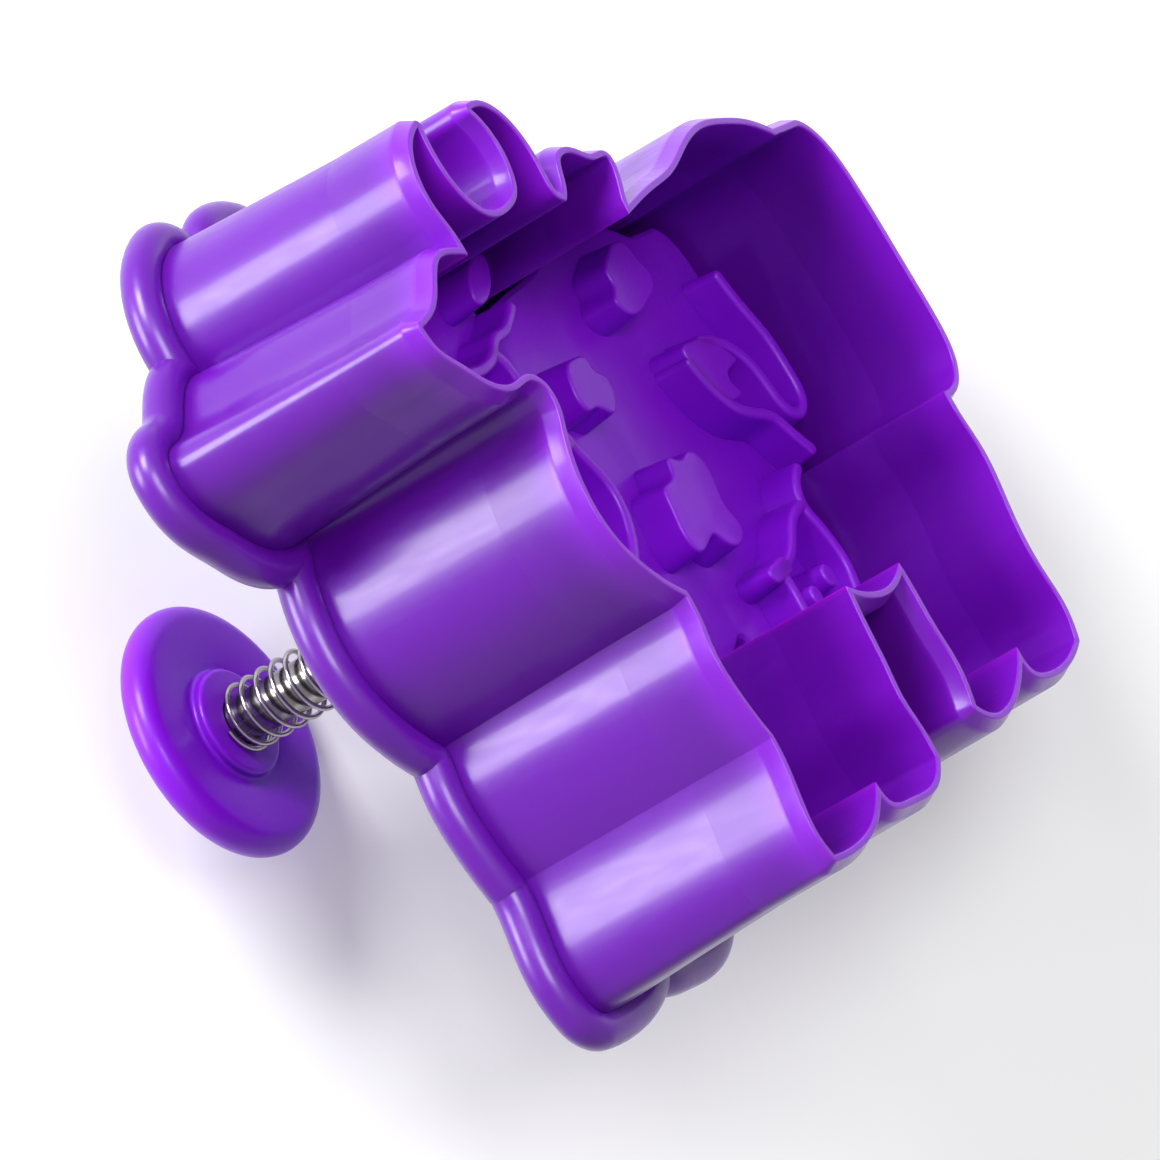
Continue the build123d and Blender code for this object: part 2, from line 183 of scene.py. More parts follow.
# Raised picture, in shares of the figure's length and height
patch_shares = [
    # back
    [(-0.240, 0.214), (-0.216, 0.200), (-0.213, 0.183), (-0.197, 0.168), (-0.205, 0.146),
     (-0.232, 0.135), (-0.262, 0.140), (-0.290, 0.148), (-0.299, 0.166), (-0.292, 0.190),
     (-0.288, 0.212), (-0.265, 0.221)],
    # shoulder
    [(-0.019, 0.144), (-0.048, 0.148), (-0.070, 0.136), (-0.069, 0.122), (-0.083, 0.109),
     (-0.084, 0.093), (-0.052, 0.066), (-0.030, 0.084), (-0.008, 0.088), (-0.002, 0.108),
     (-0.008, 0.128)],
    # belly
    [(-0.097, -0.017), (-0.086, -0.036), (-0.054, -0.041), (-0.043, -0.066), (-0.034, -0.094),
     (-0.040, -0.127), (-0.068, -0.128), (-0.092, -0.125), (-0.103, -0.140), (-0.128, -0.155),
     (-0.152, -0.142), (-0.148, -0.110), (-0.156, -0.080), (-0.162, -0.044), (-0.145, -0.027),
     (-0.121, -0.029)],
    # tail brush
    [(-0.265, 0.069), (-0.295, 0.068), (-0.326, 0.059), (-0.347, 0.034), (-0.356, 0.014),
     (-0.322, 0.008), (-0.317, -0.004), (-0.325, -0.019), (-0.304, -0.022), (-0.284, -0.010),
     (-0.272, 0.012), (-0.263, 0.045)],
    # end of the udder line
    [(-0.146, -0.204), (-0.168, -0.198), (-0.198, -0.205), (-0.200, -0.219), (-0.174, -0.224),
     (-0.149, -0.218)],
]
ridge_shares = [
    # tail
    [(-0.432, 0.105), (-0.439, 0.060), (-0.450, 0.010), (-0.449, -0.040), (-0.438, -0.078),
     (-0.413, -0.087), (-0.394, -0.070), (-0.388, -0.035), (-0.379, 0.008), (-0.350, 0.042),
     (-0.312, 0.060)],
    # rump and thigh
    [(-0.266, 0.050), (-0.271, 0.025), (-0.281, -0.003), (-0.300, -0.031), (-0.332, -0.053),
     (-0.358, -0.069), (-0.374, -0.097), (-0.392, -0.130)],
    # far hind leg
    [(-0.338, -0.136), (-0.313, -0.153), (-0.303, -0.174), (-0.308, -0.203), (-0.313, -0.234),
     (-0.313, -0.262), (-0.300, -0.297), (-0.286, -0.340), (-0.258, -0.385), (-0.228, -0.412)],
    # udder
    [(-0.300, -0.172), (-0.262, -0.178), (-0.233, -0.197), (-0.203, -0.210), (-0.172, -0.213)],
    # near hind leg
    [(-0.176, -0.219), (-0.177, -0.236), (-0.173, -0.266), (-0.178, -0.310), (-0.188, -0.360),
     (-0.202, -0.408)],
    # side of the head
    [(0.092, 0.213), (0.083, 0.198), (0.080, 0.172), (0.071, 0.120), (0.053, 0.055), (0.040, 0.008),
     (0.050, -0.040), (0.084, -0.080), (0.140, -0.112), (0.210, -0.126), (0.275, -0.118),
     (0.330, -0.092)],
    # left ear, lower side, and brow
    [(0.004, 0.242), (0.025, 0.232), (0.049, 0.226), (0.074, 0.226), (0.093, 0.215), (0.120, 0.209),
     (0.156, 0.214)],
    # right brow
    [(0.342, 0.214), (0.318, 0.222), (0.285, 0.216)],
    # top of the muzzle
    [(0.064, 0.074), (0.120, 0.098), (0.185, 0.105), (0.258, 0.105), (0.320, 0.094), (0.370, 0.072)],
    # mouth
    [(0.150, -0.050), (0.185, -0.066), (0.221, -0.070), (0.258, -0.066), (0.292, -0.050)],
    # front legs
    [(0.200, -0.190), (0.212, -0.260), (0.222, -0.330), (0.227, -0.400)],
]
spot_shares = [
    # inner ears
    [(0.030, 0.293), (0.039, 0.020), -29],
    [(0.415, 0.286), (0.038, 0.022), -12],
    # eyes
    [(0.160, 0.172), (0.017, 0.024), 0],
    [(0.284, 0.172), (0.017, 0.024), 0],
    # nostrils
    [(0.155, 0.034), (0.024, 0.017), 15],
    [(0.288, 0.034), (0.024, 0.017), -15],
    # teats
    [(-0.260, -0.257), (0.012, 0.016), 0],
    [(-0.211, -0.265), (0.011, 0.015), 0],
]

# Return spring
wire_diameter = 0.45
spring_outer_diameter = 5.9
spring_turns = 18
end_turns = 1
end_pitch = 0.9
spring_seat_gap = 0.02
steps_per_turn = 40
wire_sides = 14
wire_sharp_angle = 60

# Push knob
knob_radius = 11.0
knob_edge_radius = 1.6
knob_height = 57.2
knob_top_dish = 0.5
knob_ring_height = 1.0
knob_ring_fillet = 0.35
knob_ring_radius = 4.7
knob_ring_rounding = 0.4
knob_ring_face = 55.0
knob_socket_chamfer = 0.15
knob_ring_steps = 8
knob_fillet_steps = 5
knob_dish_steps = 16
knob_edge_steps = 32
pin_top = 57.4
pin_bottom = 16.8
pin_chamfer = 0.3
lathe_steps = 160

# Camera, calibrated on the photo: pixels of its 1160 by 1160 frame
photo_size = 1160
photo_middle = photo_size / 2
sensor_width = 36
farthest_view = 20
focal_pixels = 11700
origin_pixel = (744.5, 403.5)
view_distance = 0.9101
view_elevation = 30.5
view_azimuth = 6.5
view_roll = 30.3


def place(share):
    """A point in the solids' frame, in millimetres, from its shares of the figure."""
    return figure_middle + np.array([share[0] * figure_length, share[1] * figure_height])


def end_slope(first, second, near, far):
    """The slope at the end of a curve, from its two nearest chords."""
    return first + (first - second) * near / (near + far)


def smooth_curve(points, spacing, closed=False):
    """Points along one smooth curve through a run of points."""
    points = np.array(points)
    if closed:
        points = np.vstack([points, points[:1]])
    count = len(points)
    if count == 2:
        steps = math.ceil(np.linalg.norm(points[1] - points[0]) / spacing)
        return np.linspace(points[0], points[1], 1 + steps)
    chords = np.linalg.norm(np.diff(points, axis=0), axis=1)
    slopes = np.diff(points, axis=0) / chords[:, None]
    system = np.zeros((count, count))
    wanted = np.zeros((count, 2))
    for k in range(1, count - 1):
        before, after = chords[k - 1], chords[k]
        system[k, k - 1:k + 2] = 1 / before, 2 / before + 2 / after, 1 / after
        wanted[k] = 3 * slopes[k - 1] / before + 3 * slopes[k] / after
    if closed:
        before, after = chords[-1], chords[0]
        system[0, 0] = 2 / before + 2 / after
        system[0, 1] = 1 / after
        system[0, -2] = 1 / before
        wanted[0] = 3 * slopes[-1] / before + 3 * slopes[0] / after
        system[-1, -1] = 1
        system[-1, 0] = -1
    else:
        system[0, 0] = 1
        wanted[0] = end_slope(slopes[0], slopes[1], chords[0], chords[1])
        system[-1, -1] = 1
        wanted[-1] = end_slope(slopes[-1], slopes[-2], chords[-1], chords[-2])
    ways = np.linalg.solve(system, wanted)
    curve = []
    for k, chord in enumerate(chords):
        steps = math.ceil(chord / spacing)
        t = np.arange(steps)[:, None] / steps
        curve.append(points[k] * (1 + 2 * t) * (1 - t) ** 2 + ways[k] * chord * t * (1 - t) ** 2
                     + points[k + 1] * t ** 2 * (3 - 2 * t) + ways[k + 1] * chord * t ** 2 * (t - 1))
    if not closed:
        curve.append(points[-1:])
    return np.vstack(curve)


def left_normals(curve):
    """Unit normals on the left of an open curve."""
    ways = np.gradient(curve, axis=0)
    ways /= np.linalg.norm(ways, axis=1)[:, None]
    return np.stack([-ways[:, 1], ways[:, 0]], axis=1)


def outline_with_normals():
    """The figure's outline and its outward directions, which fan out at each corner."""
    curves = [smooth_curve([place(share) for share in shares], outline_spacing) for shares in outline_shares]
    sides = [left_normals(curve) for curve in curves]
    points = []
    normals = []
    for index, (curve, side) in enumerate(zip(curves, sides)):
        points.append(curve)
        normals.append(side)
        start = math.atan2(side[-1][1], side[-1][0])
        following = sides[(index + 1) % len(sides)][0]
        turn = math.remainder(math.atan2(following[1], following[0]) - start, math.tau)
        angles = start + turn * np.linspace(0, 1, corner_steps + 2)[1:-1]
        points.append(np.repeat(curve[-1:], corner_steps, axis=0))
        normals.append(np.stack([np.cos(angles), np.sin(angles)], axis=1))
    return np.vstack(points), np.vstack(normals)


outline_points, outline_normals = outline_with_normals()


def gap_to_outline(spots):
    """Distance from each spot to the outline."""
    starts = outline_points
    spans = np.roll(outline_points, -1, axis=0) - starts
    lengths = (spans ** 2).sum(axis=1)
    real = lengths > 0
    starts, spans, lengths = starts[real], spans[real], lengths[real]
    gaps = []
    for spot in spots:
        shares = np.clip(((spot - starts) * spans).sum(axis=1) / lengths, 0, 1)
        gaps.append(np.linalg.norm(starts + spans * shares[:, None] - spot, axis=1).min())
    return np.array(gaps)


def crossing(a, b, c, d):
    """Where the line through a and b meets the line through c and d."""
    first = b - a
    second = d - c
    scale = first[0] * second[1] - first[1] * second[0]
    if abs(scale) < parallel_share * np.linalg.norm(first) * np.linalg.norm(second):
        return (b + c) / 2
    share = ((c[0] - a[0]) * second[1] - (c[1] - a[1]) * second[0]) / scale
    return a + first * share


def stretches_of(clear):
    """First and last index of each clear stretch round the outline."""
    count = len(clear)
    starts = [k for k in range(count) if clear[k] and not clear[k - 1]]
    stretches = []
    for start in starts:
        end = start
        while clear[(end + 1) % count]:
            end += 1
        if end - start > least_stretch:
            stretches.append((start, end))
    return stretches


def moved_outline(distance):
    """The outline moved outwards, where the points that would cross others wait in their notch."""
    spots = outline_points + distance * outline_normals
    if distance == 0:
        return spots
    count = len(spots)
    stretches = stretches_of(gap_to_outline(spots) > abs(distance) * clear_share)
    loop = [max(range(len(stretches)), key=lambda k: stretches[k][1] - stretches[k][0])]
    while True:
        end = spots[stretches[loop[-1]][1] % count]
        gaps = [np.linalg.norm(spots[stretch[0]] - end) for stretch in stretches]
        gaps[loop[-1]] = math.inf
        following = int(np.argmin(gaps))
        if following == loop[0]:
            break
        loop.append(following)
    for index, number in enumerate(loop):
        last = stretches[number][1]
        first = stretches[loop[(index + 1) % len(loop)]][0]
        notch = crossing(spots[(last - 1) % count], spots[last % count],
                         spots[first], spots[(first + 1) % count])
        step = (last + 1) % count
        while step != first:
            spots[step] = notch
            step = (step + 1) % count
    return spots


def row_of(mesh, spots, height):
    """Vertices at a height, from spots in millimetres."""
    return [mesh.verts.new((x * MM, y * MM, height * MM)) for x, y in spots]


def joined_rows(mesh, rows):
    """Faces between closed rows of vertices that follow each other."""
    for low, high in zip(rows, rows[1:]):
        for k in range(len(low)):
            mesh.faces.new((low[k - 1], low[k], high[k], high[k - 1]))


def loop_edges(mesh, row):
    """The edges that join a row's neighbours, round the loop."""
    return [mesh.edges.get((row[k - 1], row[k])) or mesh.edges.new((row[k - 1], row[k]))
            for k in range(len(row))]


def filled(mesh, *rows):
    """A flat face inside the first row, with a hole for each further row."""
    corners = [merged_row(mesh, row) for row in rows]
    edges = [edge for row in corners for edge in loop_edges(mesh, row)]
    bmesh.ops.triangle_fill(mesh, use_beauty=True, use_dissolve=False, edges=edges)


def merged_row(mesh, row):
    """A row without the vertices that lie on their neighbour."""
    kept = []
    for vertex in row:
        if not kept or (vertex.co - kept[-1].co).length > same_point:
            kept.append(vertex)
    if (kept[0].co - kept[-1].co).length <= same_point:
        kept.pop()
    return kept


def lathe(mesh, profile):
    """A turned surface about the pin's axis from radii and heights; zero radii close it."""
    angles = [math.tau * k / lathe_steps for k in range(lathe_steps)]
    rows = []
    for radius, height in profile:
        spots = [(pin_x + radius * math.cos(a), pin_y + radius * math.sin(a)) for a in angles]
        rows.append(row_of(mesh, spots, height))
    joined_rows(mesh, rows)
    return rows


def arc(middle, radius, start, end, steps):
    """Points on an arc, by angles in degrees from the first axis."""
    angles = [math.radians(start + (end - start) * k / steps) for k in range(steps + 1)]
    return [(middle[0] + radius * math.cos(a), middle[1] + radius * math.sin(a)) for a in angles]


def finished(mesh, name, bend=sharp_angle):
    """The built mesh as an object with smooth faces and sharp edges where it bends more."""
    bmesh.ops.remove_doubles(mesh, verts=mesh.verts, dist=same_point)
    bmesh.ops.dissolve_degenerate(mesh, edges=mesh.edges, dist=same_point)
    bmesh.ops.recalc_face_normals(mesh, faces=mesh.faces)
    for face in mesh.faces:
        face.smooth = True
    for edge in mesh.edges:
        edge.smooth = edge.calc_face_angle(0) < math.radians(bend)
    data = bpy.data.meshes.new(name)
    mesh.to_mesh(data)
    mesh.free()
    piece = bpy.data.objects.new(name, data)
    bpy.context.scene.collection.objects.link(piece)
    return piece


def shell_profile():
    """Offsets and heights of the shell's section, from the cavity's ceiling round to the deck."""
    profile = [(0, deck_underside), (0, edge_rounding)]
    profile += arc((edge_rounding, edge_rounding), edge_rounding, 180, 270, edge_steps)[1:]
    profile += [(edge_rounding + edge_flat_margin, 0),
                (edge_thickness - edge_rounding - edge_flat_margin, 0)]
    profile += arc((edge_thickness - edge_rounding, edge_rounding), edge_rounding, -90, 0, edge_steps)
    profile += [(bevel_thickness - bevel_start[0], bevel_height - bevel_start[1]),
                (bevel_thickness, bevel_height),
                (bevel_thickness + bevel_end[0], bevel_height + bevel_end[1])]
    lower_slope = (crease_thickness - bevel_thickness) / (crease_height - bevel_height)
    upper_slope = (wall_top_thickness - crease_thickness) / (bead_height - crease_height)
    profile += [(crease_thickness - crease_blend * lower_slope, crease_height - crease_blend),
                (crease_thickness + crease_blend * upper_slope, crease_height + crease_blend)]
    contact = math.degrees(math.asin((bead_reach - wall_top_thickness) / bead_radius))
    profile += arc((bead_reach, bead_height), bead_radius, -90 - contact,
                   90 + contact + bead_wrap_angle, bead_steps)
    return profile


def cutter_shell():
    """The cutting wall with its bead, and the deck with its guide bore."""
    mesh = bmesh.new()
    rows = [row_of(mesh, moved_outline(offset), height) for offset, height in shell_profile()]
    joined_rows(mesh, rows)
    deck_offset = bead_reach - math.sqrt(bead_radius ** 2 - (deck_top - bead_height) ** 2)
    deck_edge = row_of(mesh, moved_outline(deck_offset), deck_top)
    joined_rows(mesh, [rows[-1], deck_edge])
    bore = lathe(mesh, [(guide_boss_radius, deck_underside),
                        (guide_boss_radius, guide_boss_end + guide_boss_chamfer),
                        (guide_boss_radius - guide_boss_chamfer, guide_boss_end),
                        (bore_radius + bore_lower_chamfer, guide_boss_end),
                        (bore_radius, guide_boss_end + bore_lower_chamfer),
                        (bore_radius, deck_top - bore_upper_chamfer),
                        (bore_radius + bore_upper_chamfer, deck_top)])
    filled(mesh, rows[0], bore[0])
    filled(mesh, deck_edge, bore[-1])
    return finished(mesh, "shell_moulding")


shell = cutter_shell()
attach(shell, "cutter")
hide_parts("cutter_shell")


def plate_profile():
    """Offsets and heights of the plate's edge, from its bevelled face to its back."""
    side = -plate_clearance
    return [(side - plate_bevel - plate_bevel_low[0], plate_face_height),
            (side - plate_bevel, plate_face_height + plate_bevel_low[1]),
            (side - plate_bevel_high[0], plate_face_height + plate_bevel - plate_bevel_high[1]),
            (side, plate_face_height + plate_bevel),
            (side, plate_back - plate_back_rounding),
            (side - plate_back_middle, plate_back - plate_back_middle),
            (side - plate_back_rounding, plate_back)]


def ridge_outline(shares):
    """The outline of a raised line with round ends."""
    middle = smooth_curve([place(share) for share in shares], relief_spacing)
    side = left_normals(middle) * ridge_width / 2
    caps = []
    for end in (-1, 0):
        start = math.degrees(math.atan2(side[end][1], side[end][0])) + (180 if end == 0 else 0)
        caps.append(np.array(arc(middle[end], ridge_width / 2, start, start - 180, ridge_end_steps)[1:-1]))
    return np.vstack([middle + side, caps[0], (middle - side)[::-1], caps[1]])


def spot_outline(middle, half, angle):
    """The outline of a raised oval."""
    turn = math.radians(angle)
    rows = []
    for k in range(spot_steps):
        a = math.tau * k / spot_steps
        x = half[0] * figure_length * math.cos(a)
        y = half[1] * figure_height * math.sin(a)
        rows.append(place(middle) + np.array([x * math.cos(turn) - y * math.sin(turn),
                                              x * math.sin(turn) + y * math.cos(turn)]))
    return np.array(rows)


def outward_normals(loop):
    """Unit normals outwards from a closed outline, whichever way it runs."""
    ways = np.roll(loop, -1, axis=0) - np.roll(loop, 1, axis=0)
    ways /= np.linalg.norm(ways, axis=1)[:, None]
    following = np.roll(loop, -1, axis=0)
    area = (loop[:, 0] * following[:, 1] - loop[:, 1] * following[:, 0]).sum()
    return np.stack([ways[:, 1], -ways[:, 0]], axis=1) * (1 if area > 0 else -1)


def rounded(loop):
    """A closed outline with its tight corners rounded off."""
    for step in range(relief_smoothing):
        loop = (np.roll(loop, 1, axis=0) + 2 * loop + np.roll(loop, -1, axis=0)) / 4
    return loop


def kept_inside(loop, reach):
    """An outline whose points lie no nearer than a reach to the figure's outline."""
    kept = loop.copy()
    for index, spot in enumerate(loop):
        gaps = np.linalg.norm(outline_points - spot, axis=1)
        nearest = int(np.argmin(gaps))
        if gaps[nearest] < reach:
            away = (spot - outline_points[nearest]) / gaps[nearest]
            kept[index] = outline_points[nearest] + away * reach
    return kept


def raised(mesh, loop, face, rounding):
    """A raised shape with drafted sides and a rounded edge, down to its face."""
    normals = outward_normals(loop)
    section = [(relief_draft, plate_face_height + foot_sink)]
    section += arc((-rounding, face + rounding), rounding, 0, -90, rounding_steps)
    rows = []
    for offset, height in section:
        spots = kept_inside(loop + normals * offset, plate_clearance + relief_margin)
        rows.append(row_of(mesh, spots, height))
    joined_rows(mesh, rows)
    filled(mesh, rows[-1])


def stamp_plate():
    """The sliding plate with its raised picture and the pin's boss."""
    mesh = bmesh.new()
    rows = [row_of(mesh, moved_outline(offset), height) for offset, height in plate_profile()]
    joined_rows(mesh, rows)
    boss = lathe(mesh, [(plate_boss_radius + plate_boss_fillet, plate_back),
                        (plate_boss_radius + plate_boss_fillet_middle, plate_back + plate_boss_fillet_middle),
                        (plate_boss_radius, plate_back + plate_boss_fillet),
                        (plate_boss_radius, plate_boss_top - plate_boss_chamfer),
                        (plate_boss_radius - plate_boss_chamfer, plate_boss_top),
                        (pin_radius, plate_boss_top), (pin_radius, pin_bottom), (0, pin_bottom)])
    filled(mesh, rows[0])
    filled(mesh, rows[-1], boss[0])
    shapes = [(rounded(smooth_curve([place(share) for share in shares], relief_spacing, closed=True)),
               patch_rounding) for shares in patch_shares]
    shapes += [(ridge_outline(shares), ridge_rounding) for shares in ridge_shares]
    shapes += [(spot_outline(*spot), patch_rounding) for spot in spot_shares]
    for index, (loop, rounding) in enumerate(shapes):
        raised(mesh, loop, relief_face + face_step * index, rounding)
    return finished(mesh, "plate_moulding")


plate = stamp_plate()
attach(plate, "plunger")
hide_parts("stamp_plate")


def plunger_pin():
    """The polished pin, which shows between the spring's turns."""
    mesh = bmesh.new()
    lathe(mesh, [(0, pin_bottom), (pin_radius - pin_chamfer, pin_bottom),
                 (pin_radius, pin_bottom + pin_chamfer), (pin_radius, pin_top - pin_chamfer),
                 (pin_radius - pin_chamfer, pin_top), (0, pin_top)])
    return finished(mesh, "pin_rod")


pin = plunger_pin()
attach(pin, "plunger")
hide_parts("plunger_pin")


def spring_height(turn):
    """Height of the wire's middle after a number of turns, with close turns at both ends."""
    bottom = deck_top + wire_diameter / 2 + spring_seat_gap
    top = knob_ring_face - wire_diameter / 2 - spring_seat_gap
    end_rise = end_turns * end_pitch
    pitch = (top - bottom - 2 * end_rise) / (spring_turns - 2 * end_turns)
    if turn <= end_turns:
        return bottom + turn * end_pitch
    if turn >= spring_turns - end_turns:
        return top - (spring_turns - turn) * end_pitch
    return bottom + end_rise + (turn - end_turns) * pitch


def return_spring():
    """The wire, one tube along the helix."""
    mesh = bmesh.new()
    radius = (spring_outer_diameter - wire_diameter) / 2
    turns = [k / steps_per_turn for k in range(spring_turns * steps_per_turn + 1)]
    middles = np.array([(pin_x + radius * math.cos(math.tau * turn),
                         pin_y + radius * math.sin(math.tau * turn), spring_height(turn)) for turn in turns])
    ways = np.gradient(middles, axis=0)
    ways /= np.linalg.norm(ways, axis=1)[:, None]
    rows = []
    for turn, middle, way in zip(turns, middles, ways):
        out = np.array([math.cos(math.tau * turn), math.sin(math.tau * turn), 0])
        up = np.cross(way, out)
        ring = []
        for k in range(wire_sides):
            a = math.tau * k / wire_sides
            spot = middle + wire_diameter / 2 * (out * math.cos(a) + up * math.sin(a))
            ring.append(mesh.verts.new(spot * MM))
        rows.append(ring)
    joined_rows(mesh, rows)
    mesh.faces.new(rows[0])
    mesh.faces.new(rows[-1])
    return finished(mesh, "spring_wire", wire_sharp_angle)


spring = return_spring()
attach(spring, "cutter")
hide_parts("return_spring")
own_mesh(spring)


def push_knob():
    """The turned knob: dished faces, a full round edge and the ring that holds the spring."""
    mesh = bmesh.new()
    edge_middle = knob_radius - knob_edge_radius
    top = knob_height + knob_edge_radius
    bottom = knob_height - knob_edge_radius
    ring_root = knob_ring_face + knob_ring_height
    span = edge_middle - knob_ring_radius
    rise = ring_root - bottom
    dish_radius = (span ** 2 + rise ** 2) / (2 * rise)
    dish_angle = math.degrees(math.asin(span / dish_radius))
    fillet_angle = math.degrees(2 * knob_ring_fillet / dish_radius)
    ring_middle = (knob_ring_radius - knob_ring_rounding, knob_ring_face + knob_ring_rounding)
    fillet_middle = (knob_ring_radius + knob_ring_fillet, ring_root - knob_ring_fillet)
    profile = [(pin_radius, pin_top), (pin_radius, knob_ring_face + knob_socket_chamfer),
               (pin_radius + knob_socket_chamfer, knob_ring_face)]
    profile += arc(ring_middle, knob_ring_rounding, -90, 0, knob_ring_steps)
    profile += arc(fillet_middle, knob_ring_fillet, 180, 90, knob_fillet_steps)
    profile += arc((edge_middle, bottom + dish_radius), dish_radius,
                   -90 - dish_angle + fillet_angle, -90, knob_dish_steps)
    profile += arc((edge_middle, knob_height), knob_edge_radius, -90, 90, knob_edge_steps)[1:]
    for k in range(1, knob_dish_steps + 1):
        share = k / knob_dish_steps
        dish = knob_top_dish * (1 - math.cos(math.pi * share)) / 2
        profile.append((edge_middle * (1 - share), top - dish))
    lathe(mesh, profile)
    return finished(mesh, "knob_moulding")


knob = push_knob()
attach(knob, "plunger")
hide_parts("push_knob")


# Looks: each noise has its scale in turns per metre, its detail and any stretch; depths are metres
flow_noise = (90, 3, (1, 1, 0.3))
streak_noise = (1900, 2, (1, 1, 0.2))
wave_noise = (160, 2)
wave_strength = 0.14
wave_depth = 0.0001
grain_noise = (4200, 2)
grain_strength = 0.02
grain_depth = 0.00001
crease_lean = 0.0009
plastic_ior = 1.5
scatter_colour = (1.0, 0.05, 0.7)
scatter_scale = 0.0024
coat_share = 0.5
coat_roughness = 0.15
steel_line_scale = 2600
steel_line_detail = 4
steel_line_strength = 0.2
steel_line_depth = 0.00001
steel_tint_noise = (300, 2)
noise_middle_range = (0.3, 0.7)

# Sockets of a colour mix, whose names repeat for each kind of value
first_colour = 6
second_colour = 7
mixed_colour = 2


class Nodes:
    """A material's nodes, made and linked in short calls."""

    def __init__(self, name):
        self.material = bpy.data.materials.new(name)
        self.material.use_nodes = True
        self.tree = self.material.node_tree
        self.shader = self.tree.nodes["Principled BSDF"]

    def add(self, kind, **values):
        """A node with its properties set."""
        node = self.tree.nodes.new(kind)
        for key, value in values.items():
            setattr(node, key, value)
        return node

    def link(self, source, target):
        """A link between two sockets."""
        self.tree.links.new(source, target)

    def position(self, stretch=(1, 1, 1)):
        """The piece's own coordinates, stretched along its axes."""
        coordinates = self.add("ShaderNodeTexCoord")
        mapping = self.add("ShaderNodeMapping")
        mapping.inputs["Scale"].default_value = stretch
        self.link(coordinates.outputs["Object"], mapping.inputs["Vector"])
        return mapping.outputs["Vector"]

    def noise(self, scale, detail, stretch=(1, 1, 1)):
        """Noise at a scale, in turns per metre."""
        node = self.add("ShaderNodeTexNoise")
        node.inputs["Scale"].default_value = scale
        node.inputs["Detail"].default_value = detail
        self.link(self.position(stretch), node.inputs["Vector"])
        return node.outputs["Fac"]

    def mapped(self, value, source, target, interpolation="LINEAR"):
        """A value brought from one range into another."""
        node = self.add("ShaderNodeMapRange", interpolation_type=interpolation)
        for key, number in zip(("From Min", "From Max", "To Min", "To Max"), (*source, *target)):
            node.inputs[key].default_value = number
        self.link(value, node.inputs["Value"])
        return node.outputs["Result"]

    def ranged(self, noise, low, high):
        """A noise value brought into a range."""
        return self.mapped(noise, noise_middle_range, (low, high))

    def bump(self, height, strength, distance, normal=None):
        """A bump from a height, over an earlier one."""
        node = self.add("ShaderNodeBump")
        node.inputs["Strength"].default_value = strength
        node.inputs["Distance"].default_value = distance
        self.link(height, node.inputs["Height"])
        if normal is not None:
            self.link(normal, node.inputs["Normal"])
        return node.outputs["Normal"]

    def ramp(self, value, low, high):
        """A colour between two, by a value."""
        node = self.add("ShaderNodeMix", data_type="RGBA")
        self.link(value, node.inputs["Factor"])
        if isinstance(low, tuple):
            node.inputs[first_colour].default_value = (*low, 1)
        else:
            self.link(low, node.inputs[first_colour])
        node.inputs[second_colour].default_value = (*high, 1)
        return node.outputs[mixed_colour]

    def by_height(self, top, values, interpolation):
        """A value that runs from the first at the cutting edge to the second at a height and above it."""
        height = self.add("ShaderNodeSeparateXYZ")
        self.link(self.position(), height.inputs["Vector"])
        return self.mapped(height.outputs["Z"], (0, top * MM), values, interpolation)


def purple_plastic(name, low, high, roughness, through, shine, painted_edge_glow=None):
    """Glossy, slightly translucent plastic with flow streaks and fine grain; a painted edge glow makes it
    paler towards the cutting edge.
    """
    nodes = Nodes(name)
    shader = nodes.shader
    colour = nodes.ramp(nodes.ranged(nodes.noise(*flow_noise), 0, 1), low, high)
    # Painted glow: the colour turns paler towards the cutting edge, fading out at glow_height, in place of
    # light shining through the thin wall
    if painted_edge_glow is not None:
        colour = nodes.ramp(nodes.by_height(glow_height, (1, 0), "SMOOTHSTEP"), colour, painted_edge_glow)
    nodes.link(colour, shader.inputs["Base Color"])
    nodes.link(nodes.ranged(nodes.noise(*streak_noise), *roughness), shader.inputs["Roughness"])
    waves = nodes.bump(nodes.noise(*wave_noise), wave_strength, wave_depth)
    if painted_edge_glow is not None:
        waves = nodes.bump(nodes.by_height(crease_height, (1, 0), "LINEAR"), 1, crease_lean, waves)
    grain = nodes.bump(nodes.noise(*grain_noise), grain_strength, grain_depth, waves)
    nodes.link(grain, shader.inputs["Normal"])
    shader.inputs["IOR"].default_value = plastic_ior
    shader.inputs["Subsurface Weight"].default_value = through
    shader.inputs["Subsurface Radius"].default_value = scatter_colour
    shader.inputs["Subsurface Scale"].default_value = scatter_scale
    shader.inputs["Specular IOR Level"].default_value = shine
    shader.inputs["Coat Weight"].default_value = shine * coat_share
    shader.inputs["Coat Roughness"].default_value = coat_roughness
    return nodes.material


def steel(name, low, high, roughness, stretch):
    """Drawn steel with fine lines."""
    nodes = Nodes(name)
    shader = nodes.shader
    tint = nodes.ranged(nodes.noise(*steel_tint_noise), 0, 1)
    nodes.link(nodes.ramp(tint, low, high), shader.inputs["Base Color"])
    lines = nodes.noise(steel_line_scale, steel_line_detail, stretch)
    nodes.link(nodes.ranged(lines, *roughness), shader.inputs["Roughness"])
    nodes.link(nodes.bump(lines, steel_line_strength, steel_line_depth), shader.inputs["Normal"])
    shader.inputs["Metallic"].default_value = 1
    return nodes.material


